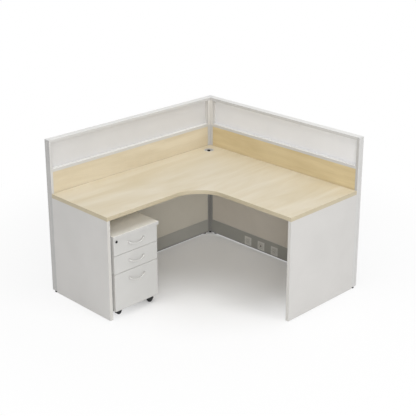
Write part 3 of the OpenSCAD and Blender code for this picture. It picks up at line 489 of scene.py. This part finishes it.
# Geometry Nodes: a tree with named inputs, and a piece that it makes from a few points or edges
socketKinds = {int: "NodeSocketInt", float: "NodeSocketFloat", bpy.types.Material: "NodeSocketMaterial"}
sharpAngle = math.radians(40)


def newTree(name, inputs):
    tree = bpy.data.node_groups.new(name, "GeometryNodeTree")
    tree.interface.new_socket("Geometry", in_out="INPUT", socket_type="NodeSocketGeometry")
    for label, value in inputs.items():
        socket = tree.interface.new_socket(label, in_out="INPUT", socket_type=socketKinds[type(value)])
        socket.default_value = value
    tree.interface.new_socket("Geometry", in_out="OUTPUT", socket_type="NodeSocketGeometry")
    return tree, addNode(tree, "NodeGroupInput").outputs


def endTree(tree, geometry, material):
    whole = addNode(tree, "GeometryNodeRealizeInstances", {"Geometry": geometry})
    painted = addNode(tree, "GeometryNodeSetMaterial", {"Geometry": whole.outputs[0], "Material": material})
    addNode(tree, "NodeGroupOutput", {0: painted.outputs[0]})
    return tree


def growPiece(name, body, tree, values, points, edges=(), facing=None, turn=None):
    mesh = bpy.data.meshes.new(name)
    mesh.from_pydata([tuple(point) for point in points], edges, [])
    if facing:
        aim = mesh.attributes.new("facing", "FLOAT_VECTOR", "POINT")
        for item, direction in zip(aim.data, facing):
            item.vector = direction
    if turn:
        bend = mesh.attributes.new("turn", "FLOAT", "POINT")
        for item, radius in zip(bend.data, turn):
            item.value = radius
    piece = addPiece(name, mesh)
    grow = piece.modifiers.new("grow", "NODES")
    grow.node_group = tree
    for item in tree.interface.items_tree:
        if item.in_out == "INPUT" and item.name in values:
            grow[item.identifier] = values[item.name]
    bakeModifiers(piece)
    piece.data.shade_smooth()
    piece.data.set_sharp_from_angle(angle=sharpAngle)
    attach(piece, body)
    return piece


# A piece along a line of points, turned round at its first and last corner
def growAlong(name, body, tree, values, line, turn):
    turns = [0.0] * len(line)
    turns[1] = turns[-2] = turn
    links = [(k, k + 1) for k in range(len(line) - 1)]
    return growPiece(name, body, tree, values, line, edges=links, turn=turns)


def combine(tree, x=0.0, y=0.0, z=0.0):
    return addNode(tree, "ShaderNodeCombineXYZ", {0: x, 1: y, 2: z}).outputs[0]


def shifted(tree, geometry, x=0.0, y=0.0, z=0.0):
    return addNode(tree, "GeometryNodeTransform", {"Geometry": geometry,
        "Translation": combine(tree, x, y, z)}).outputs[0]


def onPoints(tree, points, instance, **more):
    return addNode(tree, "GeometryNodeInstanceOnPoints", {"Points": points, "Instance": instance,
        **more}).outputs[0]


def joined(tree, pieces):
    whole = addNode(tree, "GeometryNodeJoinGeometry")
    for geometry in pieces:
        tree.links.new(geometry, whole.inputs[0])
    return whole.outputs[0]


def cylinder(tree, sides, radius, height):
    return addNode(tree, "GeometryNodeMeshCylinder", {"Vertices": sides, "Radius": radius,
        "Depth": height}).outputs


def extrude(tree, mesh, faces, offset):
    return addNode(tree, "GeometryNodeExtrudeMesh", {"Mesh": mesh, "Selection": faces,
        "Offset Scale": offset}).outputs


def scaleFaces(tree, mesh, faces, scale):
    return addNode(tree, "GeometryNodeScaleElements", {"Geometry": mesh, "Selection": faces,
        "Scale": scale}).outputs[0]


# Spots in a row along Y from each given point
def spotRows(tree, given):
    line = addNode(tree, "GeometryNodeMeshLine", {"Count": given["Count"],
        "Offset": combine(tree, y=given["Pitch"])})
    rows = onPoints(tree, given["Geometry"], line.outputs[0])
    return addNode(tree, "GeometryNodeRealizeInstances", {"Geometry": rows}).outputs[0]


# A section swept along the given edges. Their corners are rounded by the radius in the attribute turn.
def sweepAlong(tree, given, section, steps, upright=False):
    path = addNode(tree, "GeometryNodeMeshToCurve", {"Mesh": given["Geometry"]}).outputs[0]
    turn = addNode(tree, "GeometryNodeInputNamedAttribute", {"Name": "turn"}, data_type="FLOAT")
    path = addNode(tree, "GeometryNodeFilletCurve", {"Curve": path, "Count": steps,
        "Radius": turn.outputs[0], "Limit Radius": True}, mode="POLY").outputs[0]
    if upright:
        path = addNode(tree, "GeometryNodeSetCurveNormal", {"Curve": path}, mode="Z_UP").outputs[0]
    swept = addNode(tree, "GeometryNodeCurveToMesh", {"Curve": path, "Profile Curve": section,
        "Fill Caps": True})
    return endTree(tree, swept.outputs[0], given["Material"])


# How many steps or sides the round parts have
roundSteps = {"screw": 24, "bandTurn": 5, "bandEdge": 3, "handleBar": 24, "handleTurn": 8, "pad": 32,
    "nut": 6}
screwShape = {"shankShare": 0.6, "domeShare": 0.4, "topShare": 0.8, "lobes": 6.0}


# A pan-head screw with a six-lobed recess, one at each point and turned along its facing
def makeScrewTree():
    tree, given = newTree("screws", {"Head Radius": 0.004, "Head Height": 0.002, "Recess Share": 0.5,
        "Recess Depth": 0.0012, "Lobes": 0.16, "Material": finishes["screwSteel"]})
    height = given["Head Height"]
    shank = cylinder(tree, roundSteps["screw"], given["Head Radius"],
        mathNode(tree, "MULTIPLY", height, screwShape["shankShare"]))
    domed = extrude(tree, shank["Mesh"], shank["Top"],
        mathNode(tree, "MULTIPLY", height, screwShape["domeShare"]))
    eased = scaleFaces(tree, domed["Mesh"], domed["Top"], screwShape["topShare"])
    ring = extrude(tree, eased, domed["Top"], 0.0)
    mouth = scaleFaces(tree, ring["Mesh"], ring["Top"], given["Recess Share"])
    place = addNode(tree, "GeometryNodeInputPosition").outputs[0]
    apart = addNode(tree, "ShaderNodeSeparateXYZ", {0: place}).outputs
    around = mathNode(tree, "ARCTAN2", apart["Y"], apart["X"])
    wave = mathNode(tree, "COSINE", mathNode(tree, "MULTIPLY", around, screwShape["lobes"]))
    shift = addNode(tree, "ShaderNodeVectorMath", {0: combine(tree, apart["X"], apart["Y"]),
        "Scale": mathNode(tree, "MULTIPLY", wave, given["Lobes"])}, operation="SCALE")
    lobed = addNode(tree, "GeometryNodeSetPosition", {"Geometry": mouth, "Selection": ring["Top"],
        "Offset": shift.outputs[0]})
    inward = mathNode(tree, "MULTIPLY", given["Recess Depth"], -1.0)
    sunk = extrude(tree, lobed.outputs[0], ring["Top"], inward)
    lifted = shifted(tree, sunk["Mesh"], z=mathNode(tree, "MULTIPLY", height, screwShape["shankShare"] / 2))
    facing = addNode(tree, "GeometryNodeInputNamedAttribute", {"Name": "facing"}, data_type="FLOAT_VECTOR")
    turned = addNode(tree, "FunctionNodeAlignRotationToVector", {"Vector": facing.outputs[0]}, axis="Z")
    return endTree(tree, onPoints(tree, given["Geometry"], lifted, Rotation=turned.outputs[0]),
        given["Material"])


# A row of balls in a flat cage, from each point along Y
def makeBallTree():
    tree, given = newTree("ball_rows", {"Ball Radius": 0.0018, "Pitch": 0.016, "Count": 11,
        "Cage Width": 0.0026, "Cage Thickness": 0.0006, "Material": finishes["runner_steel"]})
    ball = addNode(tree, "GeometryNodeMeshIcoSphere", {"Radius": given["Ball Radius"], "Subdivisions": 2})
    balls = onPoints(tree, spotRows(tree, given), ball.outputs[0])
    length = mathNode(tree, "MULTIPLY", given["Pitch"], given["Count"])
    strip = addNode(tree, "GeometryNodeMeshCube",
        {"Size": combine(tree, given["Cage Thickness"], length, given["Cage Width"])})
    middle = mathNode(tree, "MULTIPLY", mathNode(tree, "SUBTRACT", length, given["Pitch"]), 0.5)
    cages = onPoints(tree, given["Geometry"], shifted(tree, strip.outputs[0], y=middle))
    return endTree(tree, joined(tree, (balls, cages)), given["Material"])


# Contact wires side by side
def makeContactTree():
    tree, given = newTree("contacts", {"Wire": 0.0005, "Length": 0.009, "Pitch": 0.00102, "Count": 8,
        "Material": finishes["contactGold"]})
    wire = addNode(tree, "GeometryNodeMeshCube",
        {"Size": combine(tree, given["Length"], given["Wire"], given["Wire"])})
    return endTree(tree, onPoints(tree, spotRows(tree, given), wire.outputs[0]), given["Material"])


# The edge band: a rounded strip that follows the worktop's outline
def makeBandTree():
    tree, given = newTree("edge_strip", {"Thickness": 0.002, "Height": 0.028, "Edge Radius": 0.0007,
        "Material": finishes["maple_edge"]})
    face = addNode(tree, "GeometryNodeCurvePrimitiveQuadrilateral", {"Width": given["Thickness"],
        "Height": given["Height"]})
    eased = addNode(tree, "GeometryNodeFilletCurve", {"Curve": face.outputs[0],
        "Count": roundSteps["bandEdge"], "Radius": given["Edge Radius"], "Limit Radius": True}, mode="POLY")
    return sweepAlong(tree, given, eased.outputs[0], roundSteps["bandTurn"], upright=True)


# A handle: a round bar along its path
def makeHandleTree():
    tree, given = newTree("bow_handle", {"Bar Radius": 0.0045, "Material": finishes["handle_metal"]})
    section = addNode(tree, "GeometryNodeCurvePrimitiveCircle", {"Resolution": roundSteps["handleBar"],
        "Radius": given["Bar Radius"]})
    return sweepAlong(tree, given, section.outputs[0], roundSteps["handleTurn"])


# A foot: a round pad on the floor and a six-sided nut up to what it carries
def makeFootTree():
    tree, given = newTree("feet", {"Pad Radius": 0.01, "Pad Height": 0.008, "Nut Radius": 0.007,
        "Gap": 0.012, "Material": finishes["black_plastic"]})
    padHeight = given["Pad Height"]
    nutHeight = mathNode(tree, "SUBTRACT", given["Gap"], padHeight)
    parts = []
    for sides, radius, height, bottom in ((roundSteps["pad"], given["Pad Radius"], padHeight, 0.0),
            (roundSteps["nut"], given["Nut Radius"], nutHeight, padHeight)):
        part = cylinder(tree, sides, radius, height)
        middle = mathNode(tree, "ADD", bottom, mathNode(tree, "MULTIPLY", height, 0.5))
        parts.append(shifted(tree, part["Mesh"], z=middle))
    return endTree(tree, onPoints(tree, given["Geometry"], joined(tree, parts)), given["Material"])


screwTree = makeScrewTree()
ballTree = makeBallTree()
contactTree = makeContactTree()
bandTree = makeBandTree()
handleTree = makeHandleTree()
footTree = makeFootTree()

# Each kind of screw with its head's radius and height and its recess's depth
screwSizes = {"bracket": (0.0045, 0.002, 0.0012), "outlet": (0.0026, 0.0009, 0.0006),
    "drawerRunner": (0.0035, 0.0014, 0.0009), "handle": (0.0042, 0.0022, 0.0012),
    "cabinetRunner": (0.0035, 0.0008, 0.0005), "castorPlate": (0.0034, 0.0016, 0.0009)}


# One piece of screws, given as pairs of a place and a facing
def addScrews(name, body, kind, screws):
    sizes = dict(zip(("Head Radius", "Head Height", "Recess Depth"), screwSizes[kind]))
    places, facing = zip(*screws)
    growPiece(name, body, screwTree, sizes, places, facing=facing)


# Feet that show below the end stiles and below the inner corner of the post. They stand this far in from
# the ends and from the outer faces.
feet = {"endIn": 0.01, "faceIn": 0.03, "cornerIn": 0.0435, "cornerRadius": 0.009}
growPiece("end_feet", "workstation", footTree, {},
    [leftWing(plan["leftRun"] - feet["endIn"], feet["faceIn"], 0),
    rightWing(plan["rightRun"] - feet["endIn"], feet["faceIn"], 0)])
growPiece("corner_foot", "workstation", footTree, {"Pad Radius": feet["cornerRadius"]},
    [leftWing(feet["cornerIn"], feet["cornerIn"], 0)])

# The band's middle line, from the left end round the inner corner to the right end
band = {"thickness": 0.002, "height": 0.028, "top": 0.76, "innerRadius": 0.23, "arcSteps": 48,
    "cornerRadius": 0.0018}
bandIn = band["thickness"] / 2
bandLevel = band["top"] - band["height"] / 2
bandX, bandY = plan["wall"] + plan["rightDepth"], plan["wall"] + plan["leftDepth"]
bandRound = band["innerRadius"] + bandIn
bandLine = [(plan["leftRun"] - bandIn, plan["wall"]), (plan["leftRun"] - bandIn, bandY - bandIn)]
for step in range(band["arcSteps"] + 1):
    around = math.radians(270 - 90 * step / band["arcSteps"])
    bandLine.append((bandX + band["innerRadius"] + bandRound * math.cos(around),
        bandY + band["innerRadius"] + bandRound * math.sin(around)))
bandLine += [(bandX - bandIn, plan["rightRun"] - bandIn), (plan["wall"], plan["rightRun"] - bandIn)]
edgeStrip = growAlong("worktop_edge_strip", "workstation", bandTree,
    {"Thickness": band["thickness"], "Height": band["height"]},
    [leftWing(u, v, bandLevel) for u, v in bandLine], band["cornerRadius"])
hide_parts("worktop_edge_band")

# Screws of the worktop's brackets, up into the worktop and back into the screens and board ends. Shares
# are of the wing's run, of the worktop's depth and of the bracket's width.
bracket = {"thickness": 0.003, "under": 0.732, "down": 0.6 * band["height"], "outShare": 0.7,
    "screenOut": 0.06, "endOut": 0.036, "screenWidth": 0.08, "endWidth": 0.04, "sideShares": (-0.25, 0.25),
    "screenShares": (0.28, 0.72), "endShares": (0.2, 0.8), "boardEnd": 0.025}
bracketUnder = bracket["under"] - bracket["thickness"]
bracketDown = bracket["under"] - bracket["down"]
bracketScrews = []
for wing, run, depth in ((leftWing, plan["leftRun"], plan["leftDepth"]),
        (rightWing, plan["rightRun"], plan["rightDepth"])):
    along = (wing(1, 0, 0) - wing(0, 0, 0)).normalized()
    inward = (wing(0, 1, 0) - wing(0, 0, 0)).normalized()
    end = run - bracket["boardEnd"]
    for share in bracket["screenShares"]:
        for side in bracket["sideShares"]:
            u = run * share + side * bracket["screenWidth"]
            v = plan["wall"] + bracket["screenOut"] * bracket["outShare"]
            bracketScrews.append((wing(u, v, bracketUnder), Vector((0, 0, -1))))
            bracketScrews.append((wing(u, plan["wall"] + bracket["thickness"], bracketDown), inward))
    for share in bracket["endShares"]:
        for side in bracket["sideShares"]:
            u = end - bracket["endOut"] * bracket["outShare"]
            v = plan["wall"] + depth * share + side * bracket["endWidth"]
            bracketScrews.append((wing(u, v, bracketUnder), Vector((0, 0, -1))))
            bracketScrews.append((wing(end - bracket["thickness"], v, bracketDown), -along))
addScrews("bracket_screws", "workstation", "bracket", bracketScrews)

# Outlets: two screws beside each insert, and the data port's contacts
outlet = {"count": 3, "first": 0.475, "pitch": 0.1385, "level": 0.0575, "face": 0.0522, "screwOut": 0.029}
outletScrews = []
for i in range(outlet["count"]):
    middle = outlet["first"] + i * outlet["pitch"]
    for side in (-1, 1):
        place = rightWing(middle + side * outlet["screwOut"], outlet["face"], outlet["level"])
        outletScrews.append((place, Vector((-1, 0, 0))))
addScrews("outlet_screws", "workstation", "outlet", outletScrews)
contact = {"count": 8, "pitch": 0.00102, "in": 0.0465, "above": 0.0038}
contactStart = rightWing(outlet["first"] + outlet["pitch"] + contact["pitch"] * (contact["count"] - 1) / 2,
    contact["in"], outlet["level"] + contact["above"])
growPiece("data_contacts", "workstation", contactTree,
    {"Count": contact["count"], "Pitch": contact["pitch"]}, [contactStart])

# The handle's path: out from the front, along an arc that hangs and leans outwards, and back
handle = {"half": 0.064, "reach": 0.012, "sag": 0.0215, "lean": math.radians(25), "turn": 0.008,
    "steps": 24, "arcShare": 0.8, "levels": (0.538, 0.407, 0.273), "screwIn": 0.03}
bowRadius = (handle["half"] ** 2 + handle["sag"] ** 2) / 2 / handle["sag"]
bowAngle = math.asin(handle["half"] / bowRadius)
handleLine = [(-handle["half"], 0.0, 0.0), (-handle["half"], -handle["reach"], 0.0)]
for step in range(handle["steps"] + 1):
    around = bowAngle * handle["arcShare"] * (2 * step / handle["steps"] - 1)
    drop = bowRadius * math.cos(around) - bowRadius + handle["sag"]
    handleLine.append((bowRadius * math.sin(around), -handle["reach"] - drop * math.sin(handle["lean"]),
        -drop * math.cos(handle["lean"])))
handleLine += [(-x, y, z) for x, y, z in reversed(handleLine[:2])]

# Drawers: their handles, the screws of handles and runners, and the runners' balls
drawer = {"levels": (0.486, 0.352, 0.077), "inner": 0.177, "runnerRise": 0.028, "runnerStart": 0.022,
    "runnerLength": 0.4, "memberWeb": 0.0115, "cabinetWeb": 0.0012, "screwsAlong": (0.03, 0.2, 0.37),
    "outerBall": (0.005, 0.01935), "innerBall": (0.0072, 0.01425), "ballStart": 0.012}
cabinetScrews = []
for i, level in enumerate(drawer["levels"]):
    n = i + 1
    runner = level + drawer["runnerRise"]
    runnerScrews, ballPlaces = [], []
    for side in (-1, 1):
        member = side * (drawer["inner"] - drawer["memberWeb"])
        cabinet = side * (drawer["inner"] - drawer["cabinetWeb"])
        for along in drawer["screwsAlong"]:
            y = drawer["runnerStart"] + along
            runnerScrews.append((pedestal(member, y, runner), Vector((side, 0, 0))))
            cabinetScrews.append((pedestal(cabinet, y, runner), Vector((-side, 0, 0))))
        ballStart = drawer["runnerStart"] + drawer["ballStart"]
        for flip in (-1, 1):
            for (x, half), y in ((drawer["outerBall"], ballStart + drawer["runnerLength"] / 2),
                    (drawer["innerBall"], ballStart)):
                ballPlaces.append(pedestal(side * (drawer["inner"] - x), y, runner + flip * half))
    addScrews("drawer_%d_runner_screws" % n, "drawer_%d" % n, "drawerRunner", runnerScrews)
    bow = growAlong("drawer_%d_bow_handle" % n, "drawer_%d" % n, handleTree, {},
        [pedestal(x, y, handle["levels"][i] + z) for x, y, z in handleLine], handle["turn"])
    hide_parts("drawer_%d_handle" % n)
    handleScrews = [(pedestal(side * handle["half"], handle["screwIn"], handle["levels"][i]),
        Vector((0, 1, 0))) for side in (-1, 1)]
    addScrews("drawer_%d_handle_screws" % n, "drawer_%d" % n, "handle", handleScrews)
    growPiece("runner_balls_%d" % n, "middle_runners_%d" % n, ballTree, {}, ballPlaces)
addScrews("cabinet_runner_screws", "pedestal", "cabinetRunner", cabinetScrews)

# Castor plates: four screws each, up into the pedestal's bottom
plate = {"across": 0.143, "ahead": (0.0595, 0.46), "hole": 0.015, "under": 0.0525}
plateScrews = []
for side in (-1, 1):
    for y in plate["ahead"]:
        for i in (-1, 1):
            for j in (-1, 1):
                place = pedestal(side * plate["across"] + i * plate["hole"], y + j * plate["hole"],
                    plate["under"])
                plateScrews.append((place, Vector((0, 0, -1))))
addScrews("castor_plate_screws", "pedestal", "castorPlate", plateScrews)
print("small pieces made by node trees")

# The floor: matt where light falls on it. Where it is seen, it fades to white away from the kneehole.
# Behind the screens it has painted light, a glow seen through the gap under them, and close to the post all
# glow is taken away, painted shade that keeps the floor dark there.
white = (1.0, 1.0, 1.0, 1.0)
ground = {"radius": 60.0, "segments": 64, "tone": (250, 250, 250), "glow": 0.13, "nearGlow": 0.84,
    "fadeCentre": (0.25, 0.23, 0.0), "fadeFrom": 0.54, "fadeTo": 1.18, "farFrom": 1.2, "farTo": 2.6,
    "gapX": 0.748, "gapY": 0.698, "gapRun": 0.012, "gapGlowX": 0.5, "gapGlowY": 0.38,
    "postPlace": (0.775, 0.725, 0.0), "postShade": 0.026, "postClear": 0.075}


# 1 for what the camera sees, straight or in a gloss, and 0 for the light that a surface gives others
def seenRays(tree):
    rays = addNode(tree, "ShaderNodeLightPath").outputs
    straight = mathNode(tree, "ADD", rays["Is Camera Ray"], rays["Is Glossy Ray"])
    return mathNode(tree, "ADD", straight, rays["Is Transmission Ray"], use_clamp=True)


def distanceFrom(tree, place, centre):
    apart = addNode(tree, "ShaderNodeVectorMath", {0: place, 1: centre}, operation="DISTANCE")
    return apart.outputs["Value"]


floorMesh = bpy.data.meshes.new("floor")
disc = bmesh.new()
bmesh.ops.create_circle(disc, cap_ends=True, segments=ground["segments"], radius=ground["radius"])
disc.to_mesh(floorMesh)
disc.free()
floor = addPiece("floor", floorMesh)
floorMaterial = bpy.data.materials.new("floor")
floorMaterial.use_nodes = True
tree = floorMaterial.node_tree
tree.nodes.remove(tree.nodes["Principled BSDF"])
place = addNode(tree, "ShaderNodeTexCoord").outputs["Object"]
fromKnee = distanceFrom(tree, place, ground["fadeCentre"])
fade = ranged(tree, fromKnee, ground["fadeFrom"], ground["fadeTo"], ground["glow"], ground["nearGlow"],
    interpolation_type="SMOOTHSTEP")
far = ranged(tree, fromKnee, ground["farFrom"], ground["farTo"], 0.0, 1 - ground["nearGlow"],
    interpolation_type="SMOOTHSTEP")
lit = mathNode(tree, "ADD", fade, far)
apart = addNode(tree, "ShaderNodeSeparateXYZ", {0: place}).outputs
for axis in ("X", "Y"):  # painted light: a glow on the floor behind the screens
    start = ground["gap" + axis]
    behind = ranged(tree, apart[axis], start, start + ground["gapRun"], 0.0, ground["gapGlow" + axis])
    lit = mathNode(tree, "MAXIMUM", lit, behind)
# Painted shade: no glow close to the post
fromPost = distanceFrom(tree, place, ground["postPlace"])
lit = mathNode(tree, "MULTIPLY", lit, ranged(tree, fromPost, ground["postShade"], ground["postClear"]))
share = mathNode(tree, "MULTIPLY", seenRays(tree), lit)
matt = addNode(tree, "ShaderNodeBsdfDiffuse", {"Color": tone(*ground["tone"])})
glow = addNode(tree, "ShaderNodeEmission", {"Color": white, "Strength": 1.0})
mixed = addNode(tree, "ShaderNodeMixShader", {0: share, 1: matt.outputs[0], 2: glow.outputs[0]})
tree.links.new(mixed.outputs[0], tree.nodes["Material Output"].inputs["Surface"])
floorMesh.materials.append(floorMaterial)

# The background: white where it is seen, and a soft light on everything
ambient = 0.42
world = bpy.data.worlds.new("studio")
bpy.context.scene.world = world
world.use_nodes = True
tree = world.node_tree
soft = tree.nodes["Background"]
soft.inputs["Color"].default_value = white
soft.inputs["Strength"].default_value = ambient
bright = addNode(tree, "ShaderNodeBackground", {"Color": white, "Strength": 1.0})
mixed = addNode(tree, "ShaderNodeMixShader", {0: seenRays(tree), 1: soft.outputs[0], 2: bright.outputs[0]})
tree.links.new(mixed.outputs[0], tree.nodes["World Output"].inputs["Surface"])

# Lamps: soft round lights in front, and one above
lampAim = Vector((0.0, 0.0, 0.6))
lamps = {"key": {"power": 130.0, "size": 3.2, "place": (1.6, -6.2, 5.2)},
    "front": {"power": 260.0, "size": 5.0, "place": (-6.5, -6.8, 3.2)},
    "low": {"power": 40.0, "size": 3.0, "place": (-3.9, -4.2, 1.1)},
    "top": {"power": 115.0, "size": 4.5, "place": (-0.6, -0.6, 6.0)}}
for name, settings in lamps.items():
    lamp = bpy.data.lights.new(name, "AREA")
    lamp.energy = settings["power"]
    lamp.shape = "DISK"
    lamp.size = settings["size"]
    holder = addPiece(name, lamp)
    holder.location = settings["place"]
    holder.rotation_euler = (lampAim - Vector(settings["place"])).to_track_quat("-Z", "Y").to_euler()

# The camera, fitted to the photo: angles in radians, yaw from the Y axis towards X
view = {"place": (-4.50177, -4.56898, 3.22545), "yaw": 0.781313, "pitch": -0.333735, "lens": 85.048,
    "sensor": 36.0, "shift": -0.12}
camera = bpy.data.cameras.new("camera")
camera.lens = view["lens"]
camera.sensor_width = view["sensor"]
camera.shift_y = view["shift"]
cameraHolder = addPiece("camera", camera)
cameraHolder.location = view["place"]
ahead = math.cos(view["pitch"])
aim = Vector((math.sin(view["yaw"]) * ahead, math.cos(view["yaw"]) * ahead, math.sin(view["pitch"])))
cameraHolder.rotation_euler = aim.to_track_quat("-Z", "Y").to_euler()
bpy.context.scene.camera = cameraHolder
bpy.context.scene.view_settings.view_transform = "Standard"
print("studio ready")

bpy.context.view_layer.update()
